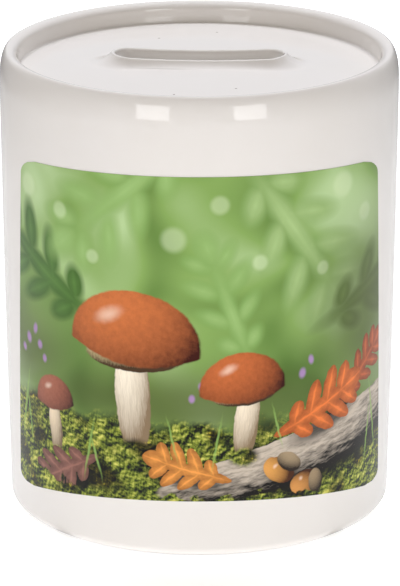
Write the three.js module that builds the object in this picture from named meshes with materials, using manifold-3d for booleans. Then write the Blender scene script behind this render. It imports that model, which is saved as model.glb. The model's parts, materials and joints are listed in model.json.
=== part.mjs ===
// Round ceramic money box with a recessed lid, a raised coin slot, a printed panel on its front
// and a soft stopper in its base. Millimetres, +Z up, the slot runs along X, the panel faces -Y.
import * as THREE from 'three';
import { mergeVertices } from 'three/addons/utils/BufferGeometryUtils.js';
import Module from 'manifold-3d';

const wasm = await Module();
wasm.setup();

// Outer form
const height = 94.2;
const shoulderRadius = 40; // widest, just under the rim
const footRadius = 38.7; // the wall tapers a little towards the foot
const wallBelly = 0.2; // how far the wall swells between foot and shoulder
const wallThickness = 3.8;
const shoulderDrop = 6.3; // height over which the shoulder leans in to the rim
const shoulderLean = 1.7;
const footCorner = 2; // rounding where the wall meets the table

// Rim and sunken lid
const rimRollWidth = 1.9; // the crest rounds over inwards this far
const rimRollDrop = 2.2;
const recessDraft = 0.3; // how far the recess wall leans in on its way down
const recessDepth = 4.4; // from the rim's crest to the lid's edge
const recessFillet = 1.2;
const lidCrown = 1.35; // the lid stands this much higher at its centre
const lidThickness = 4;
const lidCornerInside = 3; // rounding between wall and lid inside the box

// Coin slot: a straight throat under a funnel mouth, between raised lips that bow up to its ends
const slotLength = 31.2; // clear length of the throat
const slotWidth = 5; // clear width of the throat
const mouthWidth = 8.4; // from crest to crest of the lips
const mouthDepth = 2.4; // the mouth narrows to the throat over this depth
const lipHeight = 1.25; // above the lid's centre, halfway along the slot
const lipBow = 0.6; // the lips stand this much higher at the slot's ends
const lipEdge = 0.4; // rounding on both sides of the lips' crests
const lipFlare = 2.6; // how far the mound runs out from the lips
const moundRoot = 0.1; // the mound's foot starts this far under the lid's face
const throatFlare = 0.8; // widening of the throat under the lid

// Base, foot ring and stopper hole
const baseThickness = 4;
const baseCornerInside = 4;
const footHeight = 3.2; // the base is raised this far above the table
const footRingWidth = 2.6; // flat that the box stands on
const footDraft = 0.9;
const footFillet = 1.2;
const holeRadius = 17;
const holeEdge = 0.5;

// Printed film
const panelTop = 78.7; // height of the upper edge on the front centre line
const panelBottom = 12;
const panelTopAngle = 61; // degrees round the wall, to each side of the front
const panelBottomAngle = 67.95;
const panelTopArch = 4; // both long edges fall towards the sides along an ellipse of this height
const panelBottomArch = 7.9;
const panelCorner = 2.4;
const panelFilm = 0.15;
const panelGap = 0.1;

// Stopper
const stopperClearance = 0.3; // all round between the stopper and the base
const flangeOverlap = 2.8; // how far the flange reaches past the hole
const flangeThickness = 1.8;
const flangeEdge = 0.6;
const stopperReach = 2.2; // how far the neck stands into the box above the base
const stopperSkin = 1.8; // roof over the hollow
const stopperWall = 2.2;
const ribCount = 3;
const ribDepth = 0.8;
const gripWidth = 4; // web across the hollow that the fingers pinch
const gripInset = 0.7; // the web's edge lies this far inside the flange's face
const gripRoot = 0.8; // the web's ends run this far into the hollow's wall

// Facets
const bodyFacets = 64;
const slotFacets = 28;
const slotSteps = 8; // along the slot's straight stretch
const stopperFacets = 48;
const curveSteps = 4;
const insideSteps = 3;
const shoulderSteps = 7;
const wallSteps = 4;
const lidSteps = 3;

// Heights and radii that follow from the sizes above
const lidEdge = height - recessDepth;
const crestRadius = shoulderRadius - shoulderLean;
const recessRadius = crestRadius - rimRollWidth - recessDraft;
const lidRadius = recessRadius - recessFillet;
const baseTop = footHeight + baseThickness;
const cavityTop = lidEdge - lidThickness;
const lipTop = lidEdge + lidCrown + lipHeight;
const moundFoot = lidEdge + lidCrown - moundRoot;
const slotReach = (slotLength - slotWidth) / 2; // from the centre to each rounded end's axis
const mouthReach = slotReach + mouthWidth / 2;

const wallRadius = (z) => {
  const share = z / height;
  const taper = (shoulderRadius - footRadius) * share;
  return footRadius + taper + wallBelly * 4 * share * (1 - share);
};
const shoulderAt = (z) => {
  const share = Math.max(0, (z - height + shoulderDrop) / shoulderDrop);
  return wallRadius(z) - shoulderLean * (1 - Math.sqrt(1 - share * share));
};
const cavityRadius = (z) => wallRadius(z) - wallThickness;
const halfChord = (z, angle) => wallRadius(z) * Math.sin(THREE.MathUtils.degToRad(angle));
const lidAt = (r) => lidEdge + lidCrown * (1 - (r / lidRadius) ** 2);
const bowAt = (x) => lipBow * (x / mouthReach) ** 2;
const shareOf = (z, low, high) => THREE.MathUtils.clamp((z - low) / (high - low), 0, 1);

// Points on a quarter of an ellipse about (r, z), from one angle to the other, in degrees
const quarter = (r, z, width, rise, from, to, steps = curveSteps) =>
  Array.from({ length: steps + 1 }, (_, i) => {
    const angle = THREE.MathUtils.degToRad(from + ((to - from) * i) / steps);
    return [r + width * Math.cos(angle), z + rise * Math.sin(angle)];
  });

// Points of a curve z -> radius or radius -> z at even steps
const sample = (from, to, steps, point) =>
  Array.from({ length: steps + 1 }, (_, i) => point(from + ((to - from) * i) / steps));

// Drops points that repeat the one before, so that a profile has no step of no length
const tidy = (points) =>
  points.filter((p, i) => i === 0 || Math.hypot(p[0] - points[i - 1][0], p[1] - points[i - 1][1]) > 1e-4);

function revolve(points, facets, turn = 0) {
  const profile = tidy(points).map(([r, z]) => new THREE.Vector2(Math.max(r, 0), z));
  const geometry = new THREE.LatheGeometry(profile, facets, turn);
  geometry.rotateX(Math.PI / 2);
  return geometry;
}

// A profile taken round a straight stretch along X with half a turn at each end
function revolveLong(points, facets, reach) {
  const profile = tidy(points);
  const straight = (from, to, angle) => sample(from, to, slotSteps, (x) => [x, angle]).slice(1, -1);
  const columns = [
    ...sample(-90, 90, facets / 2, (angle) => [reach, angle]),
    ...straight(reach, -reach, 90),
    ...sample(90, 270, facets / 2, (angle) => [-reach, angle]),
    ...straight(-reach, reach, 270),
  ];
  const corners = columns.flatMap(([x, angle]) => {
    const turn = THREE.MathUtils.degToRad(angle);
    return profile.flatMap(([r, z]) => [x + r * Math.cos(turn), r * Math.sin(turn), z]);
  });
  const index = columns.flatMap((_, i) => {
    const here = i * profile.length;
    const next = ((i + 1) % columns.length) * profile.length;
    return profile.slice(1).flatMap((__, j) => [
      here + j, next + j, next + j + 1,
      here + j, next + j + 1, here + j + 1,
    ]);
  });
  const geometry = new THREE.BufferGeometry();
  geometry.setAttribute('position', new THREE.Float32BufferAttribute(corners, 3));
  geometry.setIndex(index);
  return geometry;
}

// Moves each point up or down by an amount that follows from its place
function bend(geometry, riseAt) {
  const { position } = geometry.attributes;
  for (let i = 0; i < position.count; i += 1) {
    const z = position.getZ(i);
    position.setZ(i, z + riseAt(position.getX(i), position.getY(i), z));
  }
  return geometry;
}

function toSolid(geometry) {
  const bare = geometry.clone();
  bare.deleteAttribute('normal');
  bare.deleteAttribute('uv');
  const merged = mergeVertices(bare, 1e-5);
  const index = merged.index.array;
  const corners = [];
  for (let i = 0; i < index.length; i += 3) {
    const [a, b, c] = [index[i], index[i + 1], index[i + 2]];
    if (a !== b && b !== c && c !== a) {
      corners.push(a, b, c);
    }
  }
  return new wasm.Manifold(
    new wasm.Mesh({
      numProp: 3,
      vertProperties: Float32Array.from(merged.attributes.position.array),
      triVerts: Uint32Array.from(corners),
    }),
  );
}

function toGeometry(solid) {
  const mesh = solid.getMesh();
  const geometry = new THREE.BufferGeometry();
  geometry.setAttribute('position', new THREE.BufferAttribute(Float32Array.from(mesh.vertProperties), 3));
  geometry.setIndex(new THREE.BufferAttribute(Uint32Array.from(mesh.triVerts), 1));
  geometry.computeVertexNormals();
  return geometry;
}

// The slip-cast shell: one profile from the hole in the base, out and over the rim, to the lid's
// centre, and back inside
function shellProfile() {
  const footRing = footRadius - footCorner - footRingWidth;
  const recessFoot = footRing - footDraft;
  const cavityFloorRadius = cavityRadius(baseTop) - baseCornerInside;
  const underLid = (r) => lidAt(r) - lidThickness;
  const lidInside = cavityRadius(cavityTop) - lidCornerInside;
  return [
    [0, underLid(0)],
    ...sample(0, lidInside, lidSteps, (r) => [r, underLid(r)]),
    ...quarter(lidInside, underLid(lidInside) - lidCornerInside, lidCornerInside, lidCornerInside,
      90, 0, insideSteps),
    ...sample(underLid(lidInside) - lidCornerInside, baseTop + baseCornerInside, wallSteps, (z) => [
      cavityRadius(z),
      z,
    ]),
    ...quarter(cavityFloorRadius, baseTop + baseCornerInside, baseCornerInside, baseCornerInside,
      0, -90, insideSteps),
    [holeRadius + holeEdge, baseTop],
    [holeRadius, baseTop - holeEdge],
    [holeRadius, footHeight + holeEdge],
    [holeRadius + holeEdge, footHeight],
    ...quarter(recessFoot - footFillet, footHeight - footFillet, footFillet, footFillet, 90, 0, insideSteps),
    [footRing, 0],
    ...quarter(footRadius - footCorner, footCorner, wallRadius(footCorner) - footRadius + footCorner,
      footCorner, -90, 0),
    ...sample(footCorner, height - shoulderDrop, wallSteps, (z) => [wallRadius(z), z]),
    ...sample(0, 90, shoulderSteps, (angle) => {
      const z = height - shoulderDrop * (1 - Math.sin(THREE.MathUtils.degToRad(angle)));
      return [shoulderAt(z), z];
    }),
    ...quarter(crestRadius, height - rimRollDrop, -rimRollWidth, rimRollDrop, 90, 0),
    ...quarter(lidRadius, lidEdge + recessFillet, recessFillet, recessFillet, 0, -90),
    ...sample(lidRadius, 0, lidSteps, (r) => [r, lidAt(r)]),
  ];
}

// The mound round the slot: its foot follows the crowned lid, it flares up in a hollow curve, and
// its crest bows up towards both ends
function slotMound() {
  const crest = mouthWidth / 2;
  const foot = crest + lipEdge + lipFlare;
  const flare = lipTop - lipEdge - moundFoot;
  const root = moundFoot - lidThickness / 2;
  const mound = revolveLong([
    [0, root],
    [foot, root],
    ...quarter(foot, moundFoot + flare, lipFlare, flare, -90, -180),
    ...quarter(crest, lipTop - lipEdge, lipEdge, lipEdge, 0, 90, 3),
    [0, lipTop],
  ], slotFacets, slotReach);
  return bend(mound, (x, y, z) => {
    const lift = shareOf(z, moundFoot, lipTop);
    const fall = lidAt(0) - lidAt(Math.hypot(x, y));
    return bowAt(x) * lift - fall * (1 - lift);
  });
}

// What the slot takes away: a straight throat that opens to the funnel mouth and widens below
function slotThroat() {
  const half = slotWidth / 2;
  const mouth = mouthWidth / 2;
  const mouthFoot = lipTop - mouthDepth;
  const under = lidAt(0) - lidThickness;
  const throat = revolveLong([
    [0, under - lidCrown - throatFlare],
    [half + throatFlare, under - lidCrown - throatFlare],
    [half + throatFlare, under],
    [half, under + throatFlare],
    [half, mouthFoot],
    ...quarter(mouth, lipTop - lipEdge, lipEdge, lipEdge, 180, 90, 3),
    [mouth, lipTop + mouthDepth],
    [0, lipTop + mouthDepth],
  ], slotFacets, slotReach);
  return bend(throat, (x, y, z) => bowAt(x) * shareOf(z, mouthFoot, lipTop));
}

function ceramicBody() {
  const shell = toSolid(revolve(shellProfile(), bodyFacets));
  const mound = toSolid(slotMound());
  return toGeometry(shell.add(mound).subtract(toSolid(slotThroat())));
}

// The film follows the wall; its outline is drawn as it is seen from the front
function printedPanel() {
  const low = panelBottom - panelBottomArch;
  const film = [
    ...sample(low, panelTop, wallSteps, (z) => [wallRadius(z) + panelGap + panelFilm, z]),
    ...sample(panelTop, low, wallSteps, (z) => [wallRadius(z) + panelGap, z]),
    [wallRadius(low) + panelGap + panelFilm, low],
  ];
  const edgeAt = (x, top, arch, radius) => top - arch * (1 - Math.sqrt(1 - (x / radius) ** 2));
  const topRadius = wallRadius(panelTop);
  const lowRadius = wallRadius(panelBottom);
  const topHalf = halfChord(panelTop, panelTopAngle);
  const lowHalf = halfChord(panelBottom, panelBottomAngle);
  const topCorner = edgeAt(topHalf, panelTop, panelTopArch, topRadius);
  const lowCorner = edgeAt(lowHalf, panelBottom, panelBottomArch, lowRadius);
  const topTurn = Math.acos((topHalf - panelCorner) / topRadius);
  const lowTurn = Math.acos((lowHalf - panelCorner) / lowRadius);
  const outline = new THREE.Shape();
  outline.moveTo(topHalf, topCorner - panelCorner);
  outline.quadraticCurveTo(topHalf, topCorner,
    topRadius * Math.cos(topTurn), panelTop - panelTopArch * (1 - Math.sin(topTurn)));
  outline.absellipse(0, panelTop - panelTopArch, topRadius, panelTopArch, topTurn, Math.PI - topTurn, false);
  outline.quadraticCurveTo(-topHalf, topCorner, -topHalf, topCorner - panelCorner);
  outline.lineTo(-lowHalf, lowCorner + panelCorner);
  outline.quadraticCurveTo(-lowHalf, lowCorner,
    -lowRadius * Math.cos(lowTurn), panelBottom - panelBottomArch * (1 - Math.sin(lowTurn)));
  outline.absellipse(0, panelBottom - panelBottomArch, lowRadius, panelBottomArch,
    Math.PI - lowTurn, lowTurn, true);
  outline.quadraticCurveTo(lowHalf, lowCorner, lowHalf, lowCorner + panelCorner);
  outline.closePath();
  const reach = shoulderRadius + panelGap + panelFilm + panelCorner;
  const cutter = new THREE.ExtrudeGeometry(outline, { depth: reach, bevelEnabled: false, curveSegments: 6 });
  cutter.rotateX(Math.PI / 2); // the outline stands upright and is pushed out towards the front
  return toGeometry(toSolid(revolve(film, bodyFacets)).intersect(toSolid(cutter)));
}

// A soft bung: flange below, ribbed neck through the hole, hollow from below with a grip web
function stopperSolid() {
  const neck = holeRadius - stopperClearance;
  const flange = holeRadius + flangeOverlap;
  const flangeTop = footHeight - stopperClearance;
  const face = flangeTop - flangeThickness;
  const roof = baseTop + stopperReach;
  const hollow = neck - ribDepth - stopperWall;
  const ceiling = roof - stopperSkin;
  const ribPitch = (roof - flangeTop) / (ribCount + 1);
  const ribs = Array.from({ length: ribCount }, (_, i) => {
    const z = flangeTop + ribPitch * (i + 0.25);
    return [
      [neck - ribDepth, z],
      [neck, z + ribPitch * 0.3],
      [neck, z + ribPitch * 0.45],
      [neck - ribDepth, z + ribPitch * 0.85],
    ];
  });
  const lead = ribPitch / 2;
  const profile = [
    [0, ceiling],
    ...quarter(hollow - lead, ceiling - lead, lead, lead, 90, 0, 3),
    [hollow, face + flangeEdge],
    [hollow + flangeEdge, face],
    ...quarter(flange - flangeEdge, face + flangeEdge, flangeEdge, flangeEdge, -90, 0, 3),
    ...quarter(flange - flangeEdge, flangeTop - flangeEdge, flangeEdge, flangeEdge, 0, 90, 3),
    [neck - ribDepth, flangeTop],
    ...ribs.flat(),
    ...quarter(neck - ribDepth - lead, roof - lead, lead, lead, 0, 90, 3),
    [0, roof],
  ];
  const web = new THREE.Shape();
  const half = gripWidth / 2;
  const tip = face + gripInset;
  web.moveTo(-half, ceiling + stopperSkin / 2);
  web.lineTo(-half, tip + half);
  web.absarc(0, tip + half, half, Math.PI, 2 * Math.PI, false);
  web.lineTo(half, ceiling + stopperSkin / 2);
  web.closePath();
  const webLength = 2 * (hollow + gripRoot);
  const bar = new THREE.ExtrudeGeometry(web, { depth: webLength, bevelEnabled: false, curveSegments: 8 });
  bar.translate(0, 0, -webLength / 2);
  bar.rotateX(Math.PI / 2);
  bar.rotateZ(Math.PI / 2);
  return toGeometry(toSolid(revolve(profile, stopperFacets)).add(toSolid(bar)));
}

const moneyBox = new THREE.Group();

function addPiece(name, geometry, settings) {
  const mesh = new THREE.Mesh(geometry, new THREE.MeshStandardMaterial(settings));
  mesh.name = name;
  moneyBox.add(mesh);
}

addPiece('ceramic_body', ceramicBody(), { color: 0xece7e1, roughness: 0.12, metalness: 0 });
addPiece('printed_panel', printedPanel(), { color: 0x7f9a63, roughness: 0.2, metalness: 0 });
addPiece('stopper', stopperSolid(), { color: 0x2b2c2e, roughness: 0.6, metalness: 0 });

export default moneyBox;
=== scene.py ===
import json
import math

import bmesh
import bpy
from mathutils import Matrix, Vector

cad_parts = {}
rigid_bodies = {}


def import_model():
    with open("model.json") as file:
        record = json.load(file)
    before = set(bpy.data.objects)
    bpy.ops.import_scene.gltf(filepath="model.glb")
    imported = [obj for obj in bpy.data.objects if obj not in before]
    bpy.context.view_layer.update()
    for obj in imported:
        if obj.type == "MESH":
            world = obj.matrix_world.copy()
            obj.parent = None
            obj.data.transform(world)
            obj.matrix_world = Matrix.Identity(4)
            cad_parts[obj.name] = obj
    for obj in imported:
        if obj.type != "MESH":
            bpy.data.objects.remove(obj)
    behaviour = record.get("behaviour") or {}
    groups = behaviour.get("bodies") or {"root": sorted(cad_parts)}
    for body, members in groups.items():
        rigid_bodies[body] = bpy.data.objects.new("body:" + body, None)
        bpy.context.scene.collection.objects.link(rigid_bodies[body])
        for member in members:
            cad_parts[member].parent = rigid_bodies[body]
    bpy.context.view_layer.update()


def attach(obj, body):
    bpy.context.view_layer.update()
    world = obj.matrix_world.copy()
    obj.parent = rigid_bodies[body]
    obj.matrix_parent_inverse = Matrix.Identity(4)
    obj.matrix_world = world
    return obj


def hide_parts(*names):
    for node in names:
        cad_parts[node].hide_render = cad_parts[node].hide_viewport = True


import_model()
print("frame loaded")

mm = 0.001
mergeGap = 0.000002  # metres: points nearer than this are one
chainGap = 0.004  # millimetres: the same for a profile's points
sharpAngle = math.radians(35)


def colour(code):
    # sRGB hex to linear, with alpha 1
    parts = [int(code[i:i + 2], 16) / 255 for i in (1, 3, 5)]
    return [p / 12.92 if p <= 0.04045 else ((p + 0.055) / 1.055) ** 2.4 for p in parts] + [1.0]


def addNode(tree, kind, inputs=None, **settings):
    node = tree.nodes.new(kind)
    for name, value in settings.items():
        setattr(node, name, value)
    for key, value in (inputs or {}).items():
        if isinstance(value, bpy.types.NodeSocket):
            tree.links.new(value, node.inputs[key])
        else:
            node.inputs[key].default_value = value
    return node


def newMaterial(name):
    material = bpy.data.materials.new(name)
    material.use_nodes = True
    material.node_tree.nodes.clear()
    return material, material.node_tree


def makeObject(name, mesh, material=None):
    piece = bpy.data.objects.new(name, mesh)
    bpy.context.scene.collection.objects.link(piece)
    if material:
        mesh.materials.append(material)
    return piece


def finishMesh(bm, name):
    bmesh.ops.remove_doubles(bm, verts=bm.verts, dist=mergeGap)
    bmesh.ops.recalc_face_normals(bm, faces=bm.faces)
    for face in bm.faces:
        face.smooth = True
    mesh = bpy.data.meshes.new(name)
    bm.to_mesh(mesh)
    bm.free()
    return mesh


def arc(r, z, width, rise, start, end, steps):
    # points on part of an ellipse about (r, z), angles in degrees
    turns = [math.radians(start + (end - start) * i / steps) for i in range(steps + 1)]
    return [(r + width * math.cos(a), z + rise * math.sin(a)) for a in turns]


def spinProfile(bm, points, steps):
    # a chain of (radius, height) in millimetres turned once about Z
    verts = [bm.verts.new((r * mm, 0, z * mm)) for r, z in points]
    edges = [bm.edges.new(pair) for pair in zip(verts, verts[1:])]
    bmesh.ops.spin(bm, geom=verts + edges, cent=(0, 0, 0), axis=(0, 0, 1), angle=2 * math.pi,
                   steps=steps, use_merge=True)


def cleanChain(points):
    kept = points[:1]
    for point in points[1:]:
        if math.dist(point, kept[-1]) > chainGap:
            kept.append(point)
    return kept


body = {  # millimetres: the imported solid's sizes, but for small touches at rim, lid and lips
    "height": 94.2, "shoulder": 40.0, "foot": 38.7, "belly": 0.2, "wall": 3.8,
    "shoulderDrop": 6.3, "shoulderLean": 1.7, "footCorner": 2.0,
    "rollWidth": 1.9, "rollDrop": 1.5, "recessDraft": 0.3, "recessDepth": 4.2, "recessFillet": 0.45,
    "lidCrown": 1.15, "lidThickness": 4.0, "cornerInside": 3.0, "lidTilt": -0.008,
    "slotReach": 13.1, "slotHalf": 2.5, "mouthHalf": 4.2, "mouthDepth": 2.4, "lipHeight": 1.25,
    "lipBow": 0.6, "lipEdge": 0.5, "lipLean": 40.0, "lipFlare": 2.6, "endFlare": 3.0, "throatFlare": 0.8,
    "baseThickness": 4.0, "baseCorner": 4.0, "footHeight": 3.2, "footRing": 2.6,
    "footDraft": 0.9, "footFillet": 1.2, "hole": 17.0, "holeEdge": 0.5,
    "footEdge": 0.35, "slotEven": 5.0, "throatLow": 88.9, "flankEase": 1.5, "flankHollow": 3,
    "funnelParts": (0.25, 0.5, 0.75, 0.9), "settleDepth": 2.0, "tiltFade": 4.0,
    "around": 360, "wallSteps": 24, "ringSteps": 16, "insideSteps": 12,
}
lidEdge = body["height"] - body["recessDepth"]
crest = body["shoulder"] - body["shoulderLean"]
lidRadius = crest - body["rollWidth"] - body["recessDraft"] - body["recessFillet"]
baseTop = body["footHeight"] + body["baseThickness"]
lidMiddle = lidEdge + body["lidCrown"]
lipTop = lidMiddle + body["lipHeight"]
mouthReach = body["slotReach"] + body["mouthHalf"]


def wallRadius(z):
    share = z / body["height"]
    taper = (body["shoulder"] - body["foot"]) * share
    return body["foot"] + taper + body["belly"] * 4 * share * (1 - share)


def shoulderRadius(z):
    share = max(0.0, (z - body["height"] + body["shoulderDrop"]) / body["shoulderDrop"])
    return wallRadius(z) - body["shoulderLean"] * (1 - math.sqrt(max(0.0, 1 - share * share)))


def lidHeight(r):
    return lidEdge + body["lidCrown"] * (1 - (r / lidRadius) ** 2)


def underLid(r):
    return lidHeight(r) - body["lidThickness"]


cavityTop = lidEdge - body["lidThickness"]
lidInside = wallRadius(cavityTop) - body["wall"] - body["cornerInside"]


def shellChain():
    # from the lid's edge out over the rim, down the wall, under the base and up inside to the lid
    b = body
    top = b["height"] - b["shoulderDrop"]
    points = arc(lidRadius, lidEdge + b["recessFillet"], b["recessFillet"], b["recessFillet"], -90, 0, 12)
    points += arc(crest, b["height"] - b["rollDrop"], -b["rollWidth"], b["rollDrop"], 0, 90, 10)
    steps = b["wallSteps"]
    for i in range(1, steps + 1):
        z = b["height"] - b["shoulderDrop"] * (1 - math.cos(math.radians(90 * i / steps)))
        points.append((shoulderRadius(z), z))
    for i in range(1, steps + 1):
        z = top - (top - b["footCorner"]) * i / steps
        points.append((wallRadius(z), z))
    corner = b["foot"] - b["footCorner"]
    points += arc(corner, b["footCorner"], wallRadius(b["footCorner"]) - corner, b["footCorner"], 0, -90, 12)
    ring = corner - b["footRing"]
    bead = b["footEdge"]
    points += arc(ring + bead, bead, bead, bead, -90, -180, 4)
    recess = ring - b["footDraft"]
    points += arc(recess - b["footFillet"], b["footHeight"] - b["footFillet"], b["footFillet"],
                  b["footFillet"], 0, 90, 8)
    edge = b["holeEdge"]
    points += arc(b["hole"] + edge, b["footHeight"] + edge, edge, edge, -90, -180, 5)
    points += arc(b["hole"] + edge, baseTop - edge, edge, edge, 180, 90, 5)
    floorRadius = wallRadius(baseTop) - b["wall"] - b["baseCorner"]
    points += arc(floorRadius, baseTop + b["baseCorner"], b["baseCorner"], b["baseCorner"], -90, 0, 8)
    high = underLid(lidInside) - b["cornerInside"]
    low = baseTop + b["baseCorner"]
    for i in range(1, b["insideSteps"] + 1):
        z = low + (high - low) * i / b["insideSteps"]
        points.append((wallRadius(z) - b["wall"], z))
    points += arc(lidInside, high, b["cornerInside"], b["cornerInside"], 0, 90, 8)
    return cleanChain(points)


def slotFrame(share):
    # once round the slot: the point on its middle line and the way that the mound faces there
    reach, even = body["slotReach"], body["slotEven"]
    quarterArc = math.pi * even / 2
    total = 4 * (reach + quarterArc)
    along = (share % 1.0) * total
    side = 1
    if along > total / 2:
        along, side = total - along, -1
    if along < quarterArc:
        middle, turn = reach, along / even
    elif along < quarterArc + 2 * reach:
        middle, turn = reach - (along - quarterArc), math.pi / 2
    else:
        middle, turn = -reach, (along - 2 * reach) / even
    return middle, math.cos(turn), side * math.sin(turn)


def lipPlace(share, offset, z, lift):
    # the lips bow up towards both ends
    middle, ahead, aside = slotFrame(share)
    x, y = middle + offset * ahead, offset * aside
    return x, y, z + body["lipBow"] * (x / mouthReach) ** 2 * lift


def footOffset(share):
    # the mound runs out further at its ends
    flare = body["lipFlare"] + body["endFlare"] * slotFrame(share)[1] ** 2
    return body["mouthHalf"] + body["lipEdge"] + flare


def blend(share, mix, far, near):
    # between a circle about the axis and an outline about the slot
    middle, ahead, aside = slotFrame(share)
    turn = share * 2 * math.pi
    return (far * math.cos(turn) * (1 - mix) + (middle + near * ahead) * mix,
            far * math.sin(turn) * (1 - mix) + near * aside * mix)


def lidRings():
    # rings from the lid's edge to the mound, over the lip, down the throat and out under the lid
    b = body
    edge = b["lipEdge"]
    lean = math.radians(b["lipLean"])
    crestSide = b["mouthHalf"] + edge * math.cos(lean)
    rise = lipTop - edge * (1 - math.sin(lean)) - lidMiddle
    mouthFoot = lipTop - b["mouthDepth"]
    under = lidMiddle - b["lidThickness"]
    rings = []
    steps = b["ringSteps"]
    for i in range(1, steps + 1):

        def lidRing(share, mix=i / steps):
            x, y = blend(share, mix, lidRadius, footOffset(share))
            return x, y, lidHeight(math.hypot(x, y))
        rings.append(lidRing)
    for i in range(1, steps + 1):

        def flankRing(share, part=1 - (1 - i / steps) ** b["flankEase"]):
            offset = crestSide + (footOffset(share) - crestSide) * (1 - part)
            height = rise * part ** b["flankHollow"]
            lift = height / b["lipHeight"]
            x, y, z = lipPlace(share, offset, lidMiddle + height, lift)
            return x, y, z - (lidMiddle - lidHeight(math.hypot(x, y))) * (1 - lift)
        rings.append(flankRing)
    mouth = arc(b["mouthHalf"], lipTop - edge, edge, edge, b["lipLean"], 180, 14)[1:]
    corner = b["mouthHalf"] - edge
    half, flare = b["slotHalf"], b["throatFlare"]
    for part in b["funnelParts"]:
        down = (mouthFoot - lipTop + edge) * part
        mouth.append((corner + (half - corner) * part, lipTop - edge + down))
    # a small break where the funnel meets the straight throat
    mouth += [(half + 0.04, mouthFoot - 0.05), (half, mouthFoot - 0.3), (half, b["throatLow"])]
    mouth += arc(half + flare, under + flare, flare, flare, 180, 270, 5)
    for offset, z in mouth:

        def mouthRing(share, offset=offset, z=z):
            outside = offset > b["mouthHalf"]
            low = lidMiddle if outside else mouthFoot
            lift = min(max((z - low) / (lipTop - low), 0), 1)
            settled = 1 - lift if outside else min(max((mouthFoot - z) / b["settleDepth"], 0), 1)
            x, y, height = lipPlace(share, offset, z, lift)
            return x, y, height - (lidMiddle - lidHeight(math.hypot(x, y))) * settled
        rings.append(mouthRing)
    for i in range(1, b["insideSteps"] + 1):

        def ceilingRing(share, mix=1 - i / b["insideSteps"]):
            x, y = blend(share, mix, lidInside, half + flare)
            return x, y, underLid(math.hypot(x, y))
        rings.append(ceilingRing)
    return rings


def glazedBody():
    bm = bmesh.new()
    chain = shellChain()
    spinProfile(bm, chain, body["around"])
    place = bm.verts.layers.int.new("place")
    for vert in bm.verts:
        turn = math.atan2(vert.co.y, vert.co.x) / (2 * math.pi) * body["around"]
        vert[place] = round(turn) % body["around"]
    # the open edge that the lid grows in from
    start, slack = chain[0], 1e-6
    loop = [e for e in bm.edges if e.is_boundary and
            all(abs(v.co.z - start[1] * mm) < slack and
                abs(math.hypot(v.co.x, v.co.y) - start[0] * mm) < slack for v in e.verts)]
    for ring in lidRings():
        grown = bmesh.ops.extrude_edge_only(bm, edges=loop)["geom"]
        for vert in (g for g in grown if isinstance(g, bmesh.types.BMVert)):
            x, y, z = ring(vert[place] / body["around"])
            held = min(1, (lidRadius - math.hypot(x, y)) / body["tiltFade"])
            vert.co = (x * mm, y * mm, (z + body["lidTilt"] * x * held) * mm)
        loop = [g for g in grown if isinstance(g, bmesh.types.BMEdge) and g.is_boundary]
    bm.verts.layers.int.remove(place)
    return finishMesh(bm, "glazed_body")


bodyMesh = glazedBody()
print("body:", len(bodyMesh.vertices), "vertices")

glaze = {
    # slip-cast stoneware under a clear glaze: glossy and faintly uneven, bare under the foot
    "colour": "#ece8e4", "warmer": "#eae5de", "bisque": "#d9cfc2", "mark": "#8d8377",
    "roughness": 0.06, "bareRoughness": 0.75, "ior": 1.52,
    "cloudSize": 25, "waveSize": 9, "waveDepth": 0.03, "bareBelow": 0.25, "glazedAbove": 0.55,
    "pinholeStrength": 2.0, "darkLineStrength": 0.45, "markDepth": 20,
    "pinholes": [(16.86, -0.03, 0.42), (-8.25, 19.69, 0.34), (-4.92, -23.58, 0.3), (7.16, -19.36, 0.3),
                 (3.64, 25.72, 0.32)],
    # a thin dark line across the lower front flank of the slot's mound: its start, its end and its half width
    "darkLine": ((-14.15, -5.83), (0.93, -6.75), 0.3),
}
glazeMaterial, tree = newMaterial("glazed_stoneware")
place = addNode(tree, "ShaderNodeTexCoord").outputs["Object"]
cloud = addNode(tree, "ShaderNodeTexNoise", {"Vector": place, "Scale": 1 / (glaze["cloudSize"] * mm),
                                             "Detail": 2.0})
tone = addNode(tree, "ShaderNodeMix", {"Factor": cloud.outputs["Fac"], 6: colour(glaze["colour"]),
                                       7: colour(glaze["warmer"])}, data_type="RGBA").outputs[2]
# pinholes on the lid, and one thin dark line across the lower front flank of the slot's mound
marks = [(x, y, size, size, 0.0) for x, y, size in glaze["pinholes"]]
(startX, startY), (endX, endY), width = glaze["darkLine"]
marks.append(((startX + endX) / 2, (startY + endY) / 2, math.hypot(endX - startX, endY - startY) / 2, width,
              math.atan2(endY - startY, endX - startX)))
near = 0.0
for x, y, length, width, turn in marks:
    local = addNode(tree, "ShaderNodeMapping", {
        "Vector": place, "Location": (x * mm, y * mm, lidMiddle * mm), "Rotation": (0, 0, turn),
        "Scale": (length * mm, width * mm, glaze["markDepth"] * mm)}, vector_type="TEXTURE").outputs[0]
    spot = addNode(tree, "ShaderNodeTexGradient", {0: local}, gradient_type="SPHERICAL").outputs["Fac"]
    strong = glaze["pinholeStrength" if length == width else "darkLineStrength"]
    strength = addNode(tree, "ShaderNodeMath", {0: spot, 1: strong}, operation="MULTIPLY",
                       use_clamp=True).outputs[0]
    near = addNode(tree, "ShaderNodeMath", {0: strength, 1: near}, operation="MAXIMUM").outputs[0]
tone = addNode(tree, "ShaderNodeMix", {"Factor": near, 6: tone, 7: colour(glaze["mark"])},
               data_type="RGBA").outputs[2]
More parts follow.
